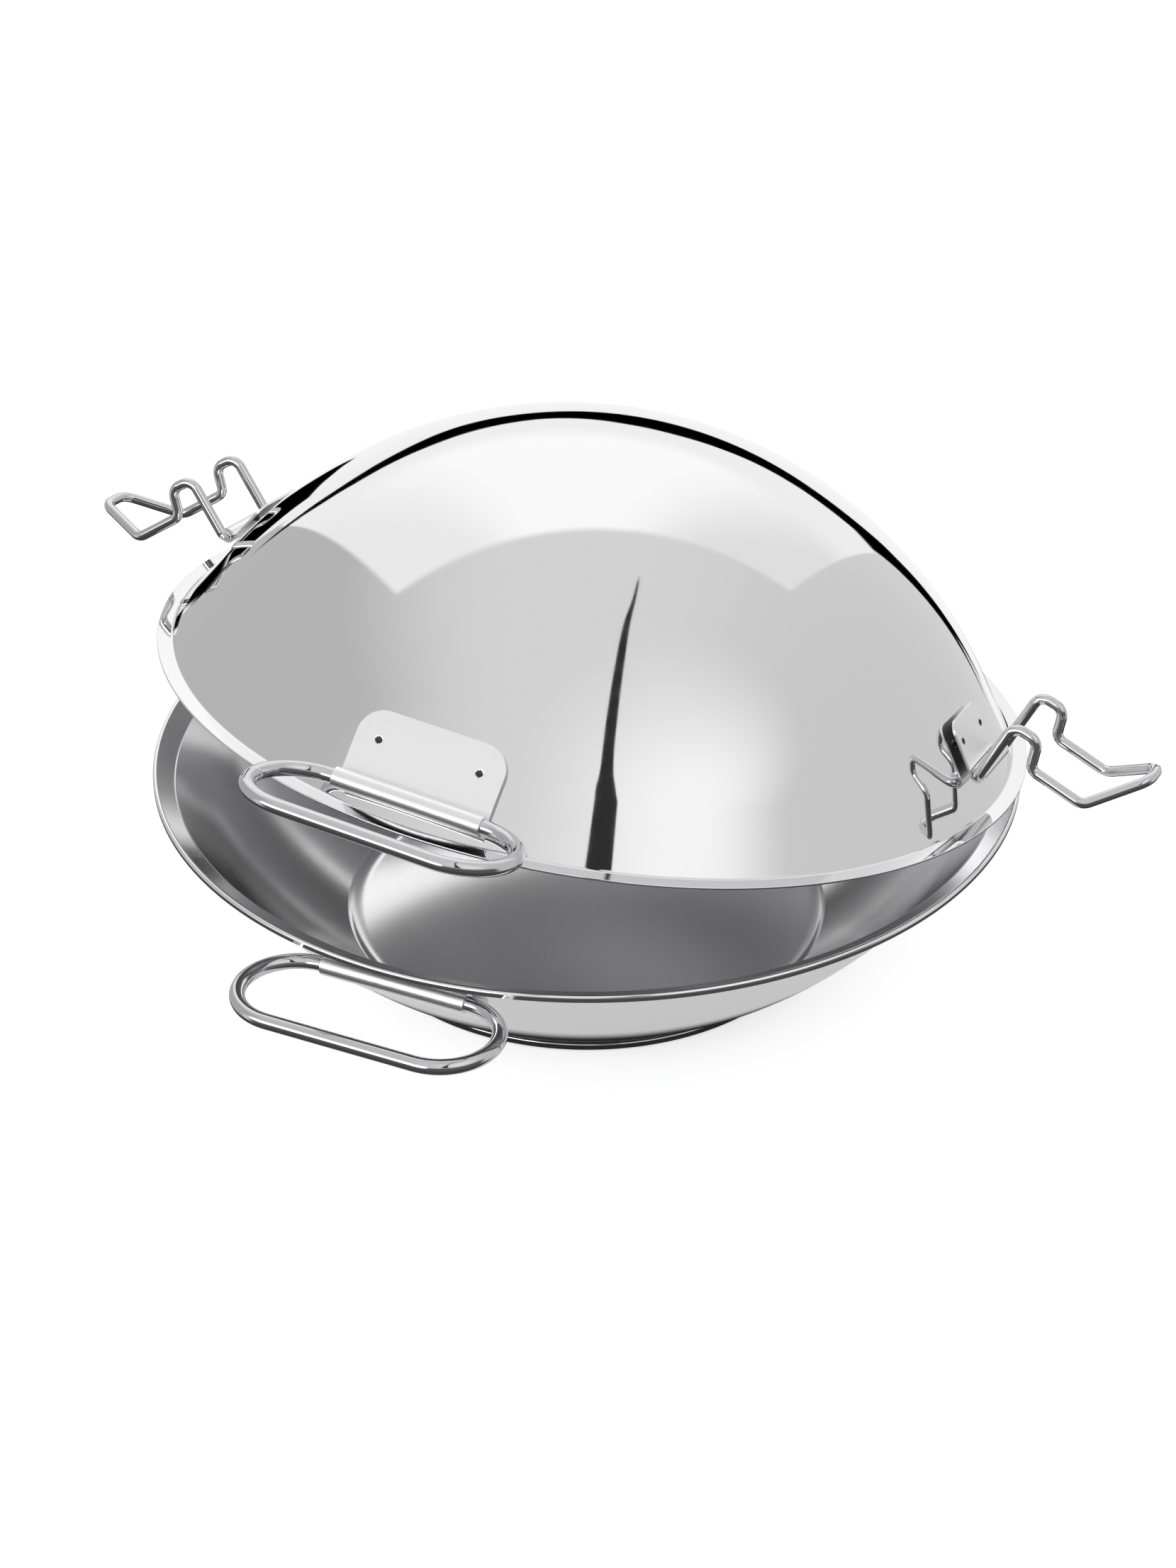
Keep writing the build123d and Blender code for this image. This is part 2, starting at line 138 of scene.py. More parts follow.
# Each step names its result and how it is made of numbers and earlier results: "ramp" steps smoothly from 0 at
# its second number to 1 at its third, "line" reads a smooth line through points, "mix" goes from its first
# light to its second by a mask, "all" multiplies masks, and the rest are the sums they say. Bearing is in degrees
# from straight behind the pan, to the right, and rise is over the horizon. out_east and out_north are
# where the direction meets a plane one unit overhead.
SKY = [
    ("bearing", "ARCTAN2", "east", "north"), ("bearing", "MULTIPLY", "bearing", DEGREE),
    ("rise", "ARCSINE", "high"), ("rise", "MULTIPLY", "rise", DEGREE),
    ("height", "MAXIMUM", "high", 0.02),
    ("out_east", "DIVIDE", "east", "height"), ("out_north", "DIVIDE", "north", "height"),
    # The white cloth all round, a little darker to each side, with a wide soft glow in front on the right.
    ("right_side", "ramp", "east", 0.25, 0.9), ("light", "mix", 0.75, 0.66, "right_side"),
    ("left_side", "ramp", "out_east", -0.2, -1.15), ("left_low", "ramp", "out_north", -0.9, -0.1),
    ("left_side", "all", "left_side", "left_low"), ("light", "mix", "light", 0.52, "left_side"),
    ("glow_east", "SUBTRACT", "out_east", 0.75), ("glow_east", "MULTIPLY", "glow_east", "glow_east"),
    ("glow_north", "ADD", "out_north", 0.91), ("glow_north", "MULTIPLY", "glow_north", "glow_north"),
    ("glow", "ADD", "glow_east", "glow_north"), ("glow", "SQRT", "glow"),
    ("glow", "ramp", "glow", 1.1, 0.1), ("light", "mix", "light", 1.05, "glow"),
    # The roof panel: its near edge crosses overhead, and its sides run back to the horizon.
    ("near", "MULTIPLY", "out_east", 0.21), ("near", "SUBTRACT", "out_north", "near"),
    ("near", "ramp", "near", 0.52, 0.585),
    ("left", "MULTIPLY", "out_north", 0.485), ("left", "ADD", "out_east", "left"),
    ("left", "ramp", "left", -0.51, -0.47),
    ("right", "MULTIPLY", "out_north", 0.55), ("right", "SUBTRACT", "out_east", "right"),
    ("right", "ramp", "right", 0.65, 0.61), ("over", "ramp", "high", 0.0, 0.03),
    ("roof", "all", "near", "left", "right", "over"),
    ("west", "ramp", "bearing", -12.0, -35.0), ("cloth", "mix", 1.10, 0.95, "west"),
    ("far_east", "ramp", "bearing", 14.0, 42.0), ("cloth", "mix", "cloth", 0.85, "far_east"),
    ("low", "ramp", "rise", 22.0, 12.0), ("cloth", "mix", "cloth", 0.97, "low"),
    ("light", "mix", "light", "cloth", "roof"),
    # The white backcloth under the roof panel, and the dark frame round it: a bowed bar and two uprights.
    ("a", "ramp", "bearing", -26.0, -25.0), ("b", "ramp", "bearing", 26.0, 25.0), ("c", "ramp", "rise", 4.0, 0.0),
    ("back", "all", "a", "b", "c"), ("light", "mix", "light", 0.98, "back"),
    ("a", "line", "bearing", BAR_TOP), ("a", "SUBTRACT", "rise", "a"), ("a", "ramp", "a", 0.3, -0.3),
    ("b", "line", "bearing", BAR_FOOT), ("b", "SUBTRACT", "rise", "b"), ("b", "ramp", "b", -0.3, 0.3),
    ("c", "ramp", "bearing", -30.2, -29.8), ("d", "ramp", "bearing", 28.6, 28.3),
    ("bar", "all", "a", "b", "c", "d"), ("light", "mix", "light", 0.0, "bar"),
    ("a", "line", "rise", UPRIGHT_NEAR), ("a", "SUBTRACT", "bearing", "a"), ("a", "ramp", "a", 0.0, 0.5),
    ("b", "line", "rise", UPRIGHT_FAR), ("b", "SUBTRACT", "bearing", "b"), ("b", "ramp", "b", 0.0, -0.5),
    ("c", "ramp", "rise", -21.0, -20.0), ("d", "ramp", "rise", 1.0, 0.0),
    ("upright", "all", "a", "b", "c", "d"), ("light", "mix", "light", 0.0, "upright"),
    ("a", "line", "rise", POST_LEFT), ("a", "SUBTRACT", "bearing", "a"), ("a", "ramp", "a", 0.0, 0.6),
    ("b", "line", "rise", POST_RIGHT), ("b", "SUBTRACT", "bearing", "b"), ("b", "ramp", "b", 0.0, -0.6),
    ("c", "ramp", "rise", -20.0, -18.0), ("d", "ramp", "rise", -1.2, -1.8),
    ("post", "all", "a", "b", "c", "d"), ("light", "mix", "light", 0.0, "post"),
    # The narrow dark gap between the front cloths, widening and bending as it falls to the horizon.
    ("a", "line", "out_north", GAP_MIDDLE), ("a", "SUBTRACT", "out_east", "a"), ("a", "ABSOLUTE", "a"),
    ("b", "line", "out_north", GAP_HALF), ("a", "SUBTRACT", "a", "b"), ("a", "ramp", "a", 0.005, -0.002),
    ("b", "ramp", "out_north", 0.32, 0.24), ("c", "ramp", "high", 0.3, 0.4),
    ("gap", "all", "a", "b", "c"), ("light", "mix", "light", 0.03, "gap"),
    # Low in front it is dim, where the camera stands, and a lamp is turned up on the left.
    ("front", "ramp", "north", -0.15, -0.4), ("a", "ramp", "rise", 20.0, 10.0),
    ("dim", "all", "front", "a"), ("light", "mix", "light", 0.12, "dim"),
    ("a", "ramp", "bearing", -164.0, -152.0), ("b", "ramp", "bearing", -96.0, -106.0),
    ("c", "ramp", "rise", 3.0, 8.0), ("d", "ramp", "rise", 30.0, 24.0),
    ("lamp", "all", "front", "a", "b", "c", "d"), ("light", "mix", "light", 3.4, "lamp"),
    # Under the table's edge the room is unlit, which draws a dark line along each wire and rim.
    ("under", "ramp", "rise", -24.0, -30.0), ("light", "mix", "light", 0.07, "under"),
    # The camera itself sees plain white behind the object.
    ("light", "mix", "light", 1.0, "seen"),
]
found = {"east": away.outputs[0], "north": away.outputs[1], "high": away.outputs[2],
         "seen": node(sky, "ShaderNodeLightPath").outputs["Is Camera Ray"]}
for name, kind, *given in SKY:
    given = [found[value] if isinstance(value, str) else value for value in given]
    if kind == "ramp":
        value, low, high = given
        ends = (0.0, 1.0) if low < high else (1.0, 0.0)
        made = node(sky, "ShaderNodeMapRange", {"interpolation_type": "SMOOTHSTEP"}, i0=value,
                    i1=min(low, high), i2=max(low, high), i3=ends[0], i4=ends[1]).outputs[0]
    elif kind == "mix":
        made = node(sky, "ShaderNodeMapRange", {"clamp": False}, i0=given[2], i3=given[0], i4=given[1]).outputs[0]
    elif kind == "line":
        # The curve node works from 0 to 1, so both ways are scaled to that and the height is scaled back.
        value, points = given
        spots = np.array(points, float)
        low, size = spots.min(0), np.ptp(spots, axis=0)
        start = node(sky, "ShaderNodeMapRange", {"clamp": False}, i0=value, i1=low[0], i2=low[0] + size[0])
        curve = node(sky, "ShaderNodeFloatCurve", Value=start.outputs[0])
        drawn = curve.mapping.curves[0].points
        scaled = ((spots - low) / size).tolist()
        drawn[0].location, drawn[1].location = scaled[0], scaled[-1]
        for spot in scaled[1:-1]:
            drawn.new(*spot)
        for point in drawn:
            point.handle_type = "AUTO_CLAMPED"
        curve.mapping.update()
        made = node(sky, "ShaderNodeMapRange", {"clamp": False}, i0=curve.outputs[0],
                    i3=low[1], i4=low[1] + size[1]).outputs[0]
    elif kind == "all":
        made = given[0]
        for mask in given[1:]:
            made = node(sky, "ShaderNodeMath", {"operation": "MULTIPLY"}, i0=made, i1=mask).outputs[0]
    else:
        made = node(sky, "ShaderNodeMath", {"operation": kind},
                    **{f"i{i}": value for i, value in enumerate(given)}).outputs[0]
    found[name] = made
cloth = node(sky, "ShaderNodeBackground", Strength=found["light"])
cloth.inputs["Color"].default_value = linear("#ffffff")
out = node(sky, "ShaderNodeOutputWorld")
sky.links.new(cloth.outputs[0], out.inputs["Surface"])

NEAR_TABLE = 0.17
FAR_TABLE = 9.0


def ring_mesh(name, inner, outer, height, count=96):
    """Flat ring or disc of the given radii: two circles joined by quads, the inner one closed by a face when it is
    under 0.1.
    """
    a = np.arange(count) * 2 * math.pi / count
    circles = [np.c_[radius * np.cos(a), radius * np.sin(a), np.full(count, height)] for radius in (inner, outer)]
    i = np.arange(count)
    j = (i + 1) % count
    faces = np.c_[i, i + count, j + count, j].tolist()
    if inner < 0.1:
        faces.append(i.tolist())
    mesh = bpy.data.meshes.new(name)
    mesh.from_pydata(np.concatenate(circles).tolist(), [], faces)
    made = bpy.data.objects.new(name, mesh)
    bpy.context.scene.collection.objects.link(made)
    return made


# White to the eye, with an even lift. To mirrored rays it is greyer, with a painted shadow where the pan stands over
# it: the photograph's steel shows it so, though no single paint would.
table_paint = bpy.data.materials.new("matt_white_table")
table_paint.use_nodes = True
paint = table_paint.node_tree
coat = paint.nodes["Principled BSDF"]
mirrored = node(paint, "ShaderNodeLightPath").outputs["Is Glossy Ray"]
where = node(paint, "ShaderNodeTexCoord").outputs["Object"]
out_from = node(paint, "ShaderNodeVectorMath", {"operation": "LENGTH"}, i0=where).outputs["Value"]
# Painted shadow: a dark disc on the table under the pan, seen only by mirrored rays.
pan_shadow_mask = node(paint, "ShaderNodeMapRange", {"interpolation_type": "SMOOTHSTEP"}, i0=out_from,
               i1=0.086, i2=0.098, i3=1.0, i4=0.0).outputs[0]
pan_shadow_mask = node(paint, "ShaderNodeMath", {"operation": "MULTIPLY"}, i0=pan_shadow_mask, i1=mirrored).outputs[0]
shade = node(paint, "ShaderNodeMapRange", i0=mirrored, i3=0.88, i4=0.62).outputs[0]
speck = node(paint, "ShaderNodeTexNoise", i2=900.0, Vector=where)
mottle = node(paint, "ShaderNodeMapRange", i0=speck.outputs[0], i3=0.985, i4=1.015).outputs[0]
albedo = node(paint, "ShaderNodeMath", {"operation": "MULTIPLY"}, i0=shade, i1=mottle).outputs[0]
# The painted shadow dims the table's colour there and takes away its lift.
pan_shadow_dim = node(paint, "ShaderNodeMapRange", i0=pan_shadow_mask, i3=1.0, i4=0.1).outputs[0]
albedo = node(paint, "ShaderNodeMath", {"operation": "MULTIPLY"}, i0=albedo, i1=pan_shadow_dim).outputs[0]
grey = node(paint, "ShaderNodeCombineXYZ", X=albedo, Y=albedo, Z=albedo)
paint.links.new(grey.outputs[0], coat.inputs["Base Color"])
coat.inputs["Roughness"].default_value = 0.9
coat.inputs["Specular IOR Level"].default_value = 0.0
coat.inputs["Emission Color"].default_value = linear("#ffffff")
lift = node(paint, "ShaderNodeMapRange", i0=mirrored, i3=0.55, i4=0.30).outputs[0]
outside_pan_shadow = node(paint, "ShaderNodeMath", {"operation": "SUBTRACT"}, i0=1.0, i1=pan_shadow_mask).outputs[0]
lift = node(paint, "ShaderNodeMath", {"operation": "MULTIPLY"}, i0=lift, i1=outside_pan_shadow).outputs[0]
paint.links.new(lift, coat.inputs["Emission Strength"])
TABLE_DROP = -0.0002
table_near = ring_mesh("table_near", 0.02, NEAR_TABLE, TABLE_DROP)
table_far = ring_mesh("table_far", NEAR_TABLE, FAR_TABLE, TABLE_DROP)
for top in (table_near, table_far):
    top.data.materials.append(table_paint)
table_far.visible_glossy = False

# ---- Pan and its disc ---------------------------------------------------------------------------
# A shallow pan pressed from 0.8 mm stainless sheet and spun smooth: mirror-polished outside, satin
# inside. Its rim flares to a flat sloping flange whose lip is turned down. An aluminium disc is
# bonded under its floor inside a thin steel cap.
MM = 0.001
SHEET = 0.8
RIM = 150.0


def facing_out(angle):
    """Unit vectors in a section, in radius and height: 0 degrees points up and 90 outwards."""
    a = np.radians(angle)
    return np.stack([np.sin(a), np.cos(a)], -1)


def meet(point, slope, other, other_slope):
    """Where two lines of a section meet, each a point and the angle that it faces."""
    n = np.stack([facing_out(slope), facing_out(other_slope)])
    return np.linalg.solve(n, np.array([n[0] @ np.array(point), n[1] @ np.array(other)]))


def corner(point, start, end, radius):
    """Arc that rounds a corner between faces that face start and end degrees; a hollow has a negative radius."""
    a, b = facing_out(start), facing_out(end)
    return (np.array(point) - radius * (a + b) / (1 + a @ b), radius, start, end)


def section(arcs, step=1.5):
    """Points and outward directions along arcs joined by straight runs. A point on an arc is its centre plus
    its radius along the direction it faces."""
    points, ways = [], []
    for centre, radius, start, end in arcs:
        length = abs(radius * math.radians(end - start))
        count = 1 if start == end else max(4, int(length / step), int(abs(end - start) / 12)) + 1
        way = facing_out(np.linspace(start, end, count))
        points.append(np.array(centre) + radius * way)
        ways.append(way)
    return np.concatenate(points), np.concatenate(ways)


def finish_mesh(name, verts, faces, corner_ways, materials, which=None):
    """Mesh in metres from millimetre points, with the exact direction that each face corner points in."""
    mesh = bpy.data.meshes.new(name)
    mesh.from_pydata((verts * MM).tolist(), [], faces)
    for material in materials:
        mesh.materials.append(material)
    if which is not None:
        mesh.polygons.foreach_set("material_index", np.asarray(which, np.int32))
    mesh.polygons.foreach_set("use_smooth", np.ones(len(mesh.polygons), bool))
    mesh.normals_split_custom_set(corner_ways.tolist())
    mesh.update()
    made = bpy.data.objects.new(name, mesh)
    bpy.context.scene.collection.objects.link(made)
    return made


def spun(name, arcs, materials, inside_from, place, count=360):
    """Surface of revolution: the section carried round the vertical. Row i and turn j give the point
    (r cos a, r sin a, z). The two ends lie on the axis, each closed by a fan. Rows from inside_from face inwards
    and take the second material."""
    points, ways = section(arcs)
    a = np.arange(count) * 2 * math.pi / count
    ca, sa = np.cos(a), np.sin(a)

    def carried(pairs):
        return np.stack([np.outer(pairs[:, 0], ca), np.outer(pairs[:, 0], sa),
                         np.repeat(pairs[:, 1:], count, 1)], -1)

    rows = len(points) - 2
    verts, norms = [np.concatenate([[[0, 0, pairs[0, 1]]], carried(pairs[1:-1]).reshape(-1, 3),
                                    [[0, 0, pairs[-1, 1]]]]) for pairs in (points, ways)]
    verts, norms = place(verts, norms)
    i, j = np.meshgrid(np.arange(rows - 1), np.arange(count), indexing="ij")
    k = (j + 1) % count
    quads = np.stack([i * count + j, (i + 1) * count + j, (i + 1) * count + k, i * count + k], -1)
    quads = 1 + quads.reshape(-1, 4)
    j = np.arange(count)
    k = (j + 1) % count
    head = np.stack([0 * j, 1 + j, 1 + k], -1)
    foot_row = 1 + (rows - 1) * count
    tail = np.stack([foot_row + k, foot_row + j, 0 * j + len(verts) - 1], -1)
    across = verts[quads[0, 1]] - verts[quads[0, 0]], verts[quads[0, 3]] - verts[quads[0, 0]]
    if np.cross(*across) @ norms[quads[0, 0]] < 0:
        quads, head, tail = quads[:, ::-1], head[:, ::-1], tail[:, ::-1]
    inside = np.arange(rows - 1) + 1 >= inside_from
    which = np.concatenate([np.repeat(inside, count), np.zeros(count), np.ones(count)])
    corners = np.concatenate([norms[quads].reshape(-1, 3), norms[head].reshape(-1, 3), norms[tail].reshape(-1, 3)])
    return finish_mesh(name, verts, quads.tolist() + head.tolist() + tail.tolist(), corners, materials, which)


def steel(name, colour, roughness, spread, grain_mm, bump_mm, stretch=(1.0, 1.0, 1.0)):
    """Bare stainless steel: metal of one colour whose roughness wanders by spread over a grain of that size in
    millimetres, with a bump of that height."""
    material = bpy.data.materials.new(name)
    material.use_nodes = True
    tree = material.node_tree
    metal = tree.nodes["Principled BSDF"]
    metal.inputs["Base Color"].default_value = linear(colour)
    metal.inputs["Metallic"].default_value = 1.0
    where = node(tree, "ShaderNodeTexCoord").outputs["Object"]
    drawn = node(tree, "ShaderNodeMapping", Vector=where, Scale=stretch).outputs[0]
    grain = node(tree, "ShaderNodeTexNoise", i2=1000.0 / grain_mm, i3=3.0, i4=0.6)
    tree.links.new(drawn, grain.inputs["Vector"])
    wander = node(tree, "ShaderNodeMapRange", i0=grain.outputs[0], i1=0.25, i2=0.75,
                  i3=roughness - spread, i4=roughness + spread)
    tree.links.new(wander.outputs[0], metal.inputs["Roughness"])
    relief = node(tree, "ShaderNodeBump", Strength=1.0, Distance=bump_mm * MM, Height=grain.outputs[0])
    tree.links.new(relief.outputs[0], metal.inputs["Normal"])
    return material


# Mirror-polished stainless: a clean reflection, with a haze of buffing too fine to see as lines.
mirror_steel = steel("mirror_polished_stainless", "#eeeeef", 0.035, 0.012, 6.0, 0.0004)
# Satin stainless: the press finish inside, matt enough to blur all that it shows.
satin_steel = steel("satin_stainless", "#f6f6f7", 0.15, 0.02, 1.2, 0.0008)

PAN_HEIGHT = 70.4813
DISC_HEIGHT = 4.5
FLANGE_WIDTH, FLANGE_FALL = 7.5, 27.0
LIP_DROP, LIP_BEND = 2.3, 1.0
PAN_WALL, PAN_WALL_LENGTH = 54.4, 23.3
PAN_FLOOR, PAN_FLOOR_BEND = 79.4, 12.0
PAN_ROOT_BEND = 2.0


def bowl_arcs(foot, wall, wall_length, crown, bend):
    """Centres and radii of a bowl's dome and crown bend, tangent to each other and to the wall."""
    head = np.array(foot) + wall_length * facing_out(wall - 90)
    dome = head[0] / math.sin(math.radians(wall))
    dome_centre = np.array([0.0, head[1] - dome * math.cos(math.radians(wall))])
    reach = dome - bend
    turn_at = math.degrees(math.asin(crown / reach))
    bend_centre = np.array([crown, dome_centre[1] + math.sqrt(reach ** 2 - crown ** 2)])
    return dome_centre, dome, bend_centre, turn_at


def pan_section():
    """The pan upside down: out over the floor, dome and wall, round the lip, and back along the inside."""
    centre = np.array([RIM - LIP_BEND, LIP_BEND])
    start = centre - LIP_BEND * facing_out(FLANGE_FALL)
    inner = RIM - FLANGE_WIDTH
    root = np.array([inner, start[1] + (start[0] - inner) * math.tan(math.radians(FLANGE_FALL))])
    foot = root + SHEET * facing_out(PAN_WALL)
    dome_centre, dome, bend_centre, turn_at = bowl_arcs(foot, PAN_WALL, PAN_WALL_LENGTH, PAN_FLOOR, PAN_FLOOR_BEND)
    under = centre - (LIP_BEND - SHEET) * facing_out(FLANGE_FALL)
    bend = corner(meet(under, FLANGE_FALL, foot, PAN_WALL), PAN_WALL, FLANGE_FALL, -PAN_ROOT_BEND)
    floor = bend_centre[1] + PAN_FLOOR_BEND
    lip = 0.2
    arcs = [((0, floor), 0, 0, 0), (bend_centre, PAN_FLOOR_BEND, 0, turn_at), (dome_centre, dome, turn_at, PAN_WALL),
            bend, (centre, SHEET - LIP_BEND, FLANGE_FALL, -90),
            ((RIM - SHEET + lip, LIP_DROP - lip), lip, -90, 0), ((RIM - lip, LIP_DROP - lip), lip, 0, 90),
            (centre, LIP_BEND, 90, 180 + FLANGE_FALL),
            (bend[0], PAN_ROOT_BEND + SHEET, 180 + FLANGE_FALL, 180 + PAN_WALL),
            (dome_centre, SHEET - dome, 180 + PAN_WALL, 180 + turn_at),
            (bend_centre, SHEET - PAN_FLOOR_BEND, 180 + turn_at, 180), ((0, floor - SHEET), 0, 180, 180)]
    return arcs


def pan_upright(points, ways):
    """Turns an upside-down pan the right way up, its rim at its height over the table."""
    flip = np.array([1.0, -1.0, -1.0])
    return points * flip + np.array([0, 0, PAN_HEIGHT]), ways * flip


def rows_before(arcs, name_index):
    """Row number at which the arc of that index starts."""
    return len(section(arcs[:name_index])[0])


arcs = pan_section()
pan = spun("base_pan_shell", arcs, [mirror_steel, satin_steel], rows_before(arcs, 7), pan_upright)
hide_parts("base_pan")
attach(pan, "base")

DISC, DISC_SIDE, CAP = 83.0, 2.5, 0.5


def cap_section():
    """The cap: under the disc, round its side and shoulder, and back along its inner face."""
    shoulder = math.degrees(math.atan2(DISC_HEIGHT - DISC_SIDE, DISC - PAN_FLOOR))
    inside_side = meet((DISC - CAP, 0), 90, np.array([DISC, DISC_SIDE]) - CAP * facing_out(shoulder), shoulder)
    inside_top = meet((0, DISC_HEIGHT), 0, inside_side, shoulder)
    return [((0, 0), 0, 180, 180), corner((DISC, 0), 180, 90, 1.0), corner((DISC, DISC_SIDE), 90, shoulder, 0.4),
            corner((PAN_FLOOR, DISC_HEIGHT), shoulder, 0, 0.1), corner(inside_top, 0, shoulder - 180, 0.02),
            corner(inside_side, shoulder - 180, -90, -0.1), corner((DISC - CAP, CAP), -90, 0, -0.7),
            ((0, CAP), 0, 0, 0)]


def as_is(points, ways):
    return points, ways


cap = spun("base_disc_cap_shell", cap_section(), [mirror_steel, mirror_steel], 999, as_is)
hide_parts("base_disc_cap")
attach(cap, "base")
core_metal = steel("rolled_aluminium", "#c9cacc", 0.35, 0.05, 0.8, 0.002)
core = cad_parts["base_disc_core"]
core.data.materials.clear()
core.data.materials.append(core_metal)

# ---- Lid ----------------------------------------------------------------------------------------
# The lid is pressed from the same sheet, deeper, with a flat rim, and finished like the pan. It lies
# ajar: tipped up from the front left, its far right edge still on the pan.
LID_FLANGE = 5.2
LID_WALL, LID_WALL_LENGTH = 56.0, 21.5
LID_ROOT_BEND = 1.2
EDGE_ROUND = 0.25
SEAT_GAP, LID_SLIP = 0.3, 1.3
LID_AJAR = math.radians(10.0)
LOW_SIDE = math.radians(57.3)
low_way = np.array([math.cos(LOW_SIDE), math.sin(LOW_SIDE), 0.0])
tip_axis = np.array([-low_way[1], low_way[0], 0.0])
tip_drop = LID_SLIP / 2 / math.tan(LID_AJAR / 2)
tip_point = low_way * (RIM + LID_SLIP / 2) + np.array([0, 0, PAN_HEIGHT + SEAT_GAP - tip_drop])


def about(axis, angle):
    """Rotation matrix about a unit axis: the part across the axis turns by the angle."""
    x, y, z = axis
    across = np.array([[0, -z, y], [z, 0, -x], [-y, x, 0]])
    return np.eye(3) + math.sin(angle) * across + (1 - math.cos(angle)) * across @ across


lid_turn = about(tip_axis, LID_AJAR)


def lid_ajar(points, ways):
    """Sets lid points on the closed rim, then tips them open about the axis at the low side."""
    seated = points + np.array([0, 0, PAN_HEIGHT + SEAT_GAP])
    return (seated - tip_point) @ lid_turn.T + tip_point, ways @ lid_turn.T


def lid_section():
    """The lid: out over the round dome and wall, round the rim's edge, and back along the inside."""
    foot = np.array([RIM - LID_FLANGE, SHEET])
    head = foot + LID_WALL_LENGTH * facing_out(LID_WALL - 90)
    dome = head[0] / math.sin(math.radians(LID_WALL))
    dome_centre = np.array([0.0, head[1] - dome * math.cos(math.radians(LID_WALL))])
    root = corner(foot, LID_WALL, 0, -LID_ROOT_BEND)
    return [(dome_centre, dome, 0, LID_WALL), root, ((RIM - EDGE_ROUND, SHEET - EDGE_ROUND), EDGE_ROUND, 0, 90),
            ((RIM - EDGE_ROUND, EDGE_ROUND), EDGE_ROUND, 90, 180),
            (root[0], LID_ROOT_BEND + SHEET, 180, 180 + LID_WALL), (dome_centre, SHEET - dome, 180 + LID_WALL, 180)]


# The lid's inside is left duller than the pan's.
dull_steel = steel("dull_satin_stainless", "#f4f4f5", 0.38, 0.03, 1.2, 0.0012)
arcs = lid_section()
lid = spun("lid_dome", arcs, [mirror_steel, dull_steel], rows_before(arcs, 4), lid_ajar)
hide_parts("lid_shell")
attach(lid, "lid")

# ---- Handles ------------------------------------------------------------------------------------
# Four carrying handles of bright 5 mm wire, each welded into a closed loop and held in the rolled
# lower edge of a plate that two weld dimples fix to the wall.
HANDLE_WIRE, HANDLE_DEPTH, HANDLE_LEAD = 5.0, 36.0, 0.2
HANDLE_BARREL, HANDLE_PLATE_HEIGHT, HANDLE_PLATE_CORNER = 50.2, 24.7, 8.5
HANDLE_WELD = (17.2, 15.2)
HANDLE_AXIS_HEIGHT = 8.7
WIRE_CLEAR, WELD_GAP = 0.05, 0.3
LID_HANDLE_RISE, PAN_HANDLE_RISE = 6.0, 2.5
ROLL_END = -35.0


def route(points, radii, closed=False, step=0.9):
    """Points and unit directions along straight runs joined by arcs, as a wire is bent: each arc touches both of
    its runs, at the tangent of half the turn times its radius from the corner."""
    points = [np.array(p, float) for p in points]
    spots, ways = [], []
    count = len(points)
    if not closed:
        spots.append(points[:1])
        ways.append([(points[1] - points[0]) / np.linalg.norm(points[1] - points[0])])
    for i in range(0 if closed else 1, count if closed else count - 1):
        a = points[i] - points[i - 1]
        b = points[(i + 1) % count] - points[i]
        a, b = a / np.linalg.norm(a), b / np.linalg.norm(b)
        angle = math.acos(np.clip(a @ b, -1, 1))
        radius = radii[i if closed else i - 1]
        side = (b - a @ b * a) / np.linalg.norm(b - a @ b * a)
        start = points[i] - a * radius * math.tan(angle / 2)
        t = np.linspace(0, angle, max(5, int(radius * angle / step) + 2))[:, None]
        spots.append(start + radius * (np.sin(t) * a + (1 - np.cos(t)) * side))
        ways.append(np.cos(t) * a + np.sin(t) * side)
    if not closed:
        spots.append(points[-1:])
        ways.append([(points[-1] - points[-2]) / np.linalg.norm(points[-1] - points[-2])])
    return np.concatenate(spots), np.concatenate(ways)


def wire(name, spots, ways, across, diameter, material, place, closed, sides=32):
    """Round wire along a route: a circle square to the route at each spot, measured from one fixed direction."""
    s = np.cross(ways, across)
    s /= np.linalg.norm(s, axis=1)[:, None]
    t = np.cross(s, ways)
    a = np.arange(sides) * 2 * math.pi / sides
    norms = s[:, None] * np.cos(a)[:, None] + t[:, None] * np.sin(a)[:, None]
    verts = spots[:, None] + norms * diameter / 2
    n = len(spots)
    i, j = np.meshgrid(np.arange(n if closed else n - 1), np.arange(sides), indexing="ij")
    i2, j2 = (i + 1) % n, (j + 1) % sides
    quads = np.stack([i * sides + j, i * sides + j2, i2 * sides + j2, i2 * sides + j], -1).reshape(-1, 4)
    verts, norms = place(verts.reshape(-1, 3), norms.reshape(-1, 3))
    faces, corners = quads, [norms[quads].reshape(-1, 3)]
    p = verts[quads[0]]
    if np.cross(p[1] - p[0], p[3] - p[0]) @ norms[quads[0, 0]] < 0:
        faces, corners = quads[:, ::-1], [norms[quads[:, ::-1]].reshape(-1, 3)]
    faces = faces.tolist()
    if not closed:
        for ring, end, way in ((np.arange(sides), 0, -1), (np.arange(sides) + (n - 1) * sides, -1, 1)):
            out_way = place(np.zeros((1, 3)), way * ways[end][None])[1][0]
            p = verts[ring]
            if np.cross(p[1] - p[0], p[2] - p[1]) @ out_way < 0:
                ring = ring[::-1]
            faces.append(ring.tolist())
            corners.append(np.repeat(out_way[None], sides, 0))
    return finish_mesh(name, verts, faces, np.concatenate(corners), [material])


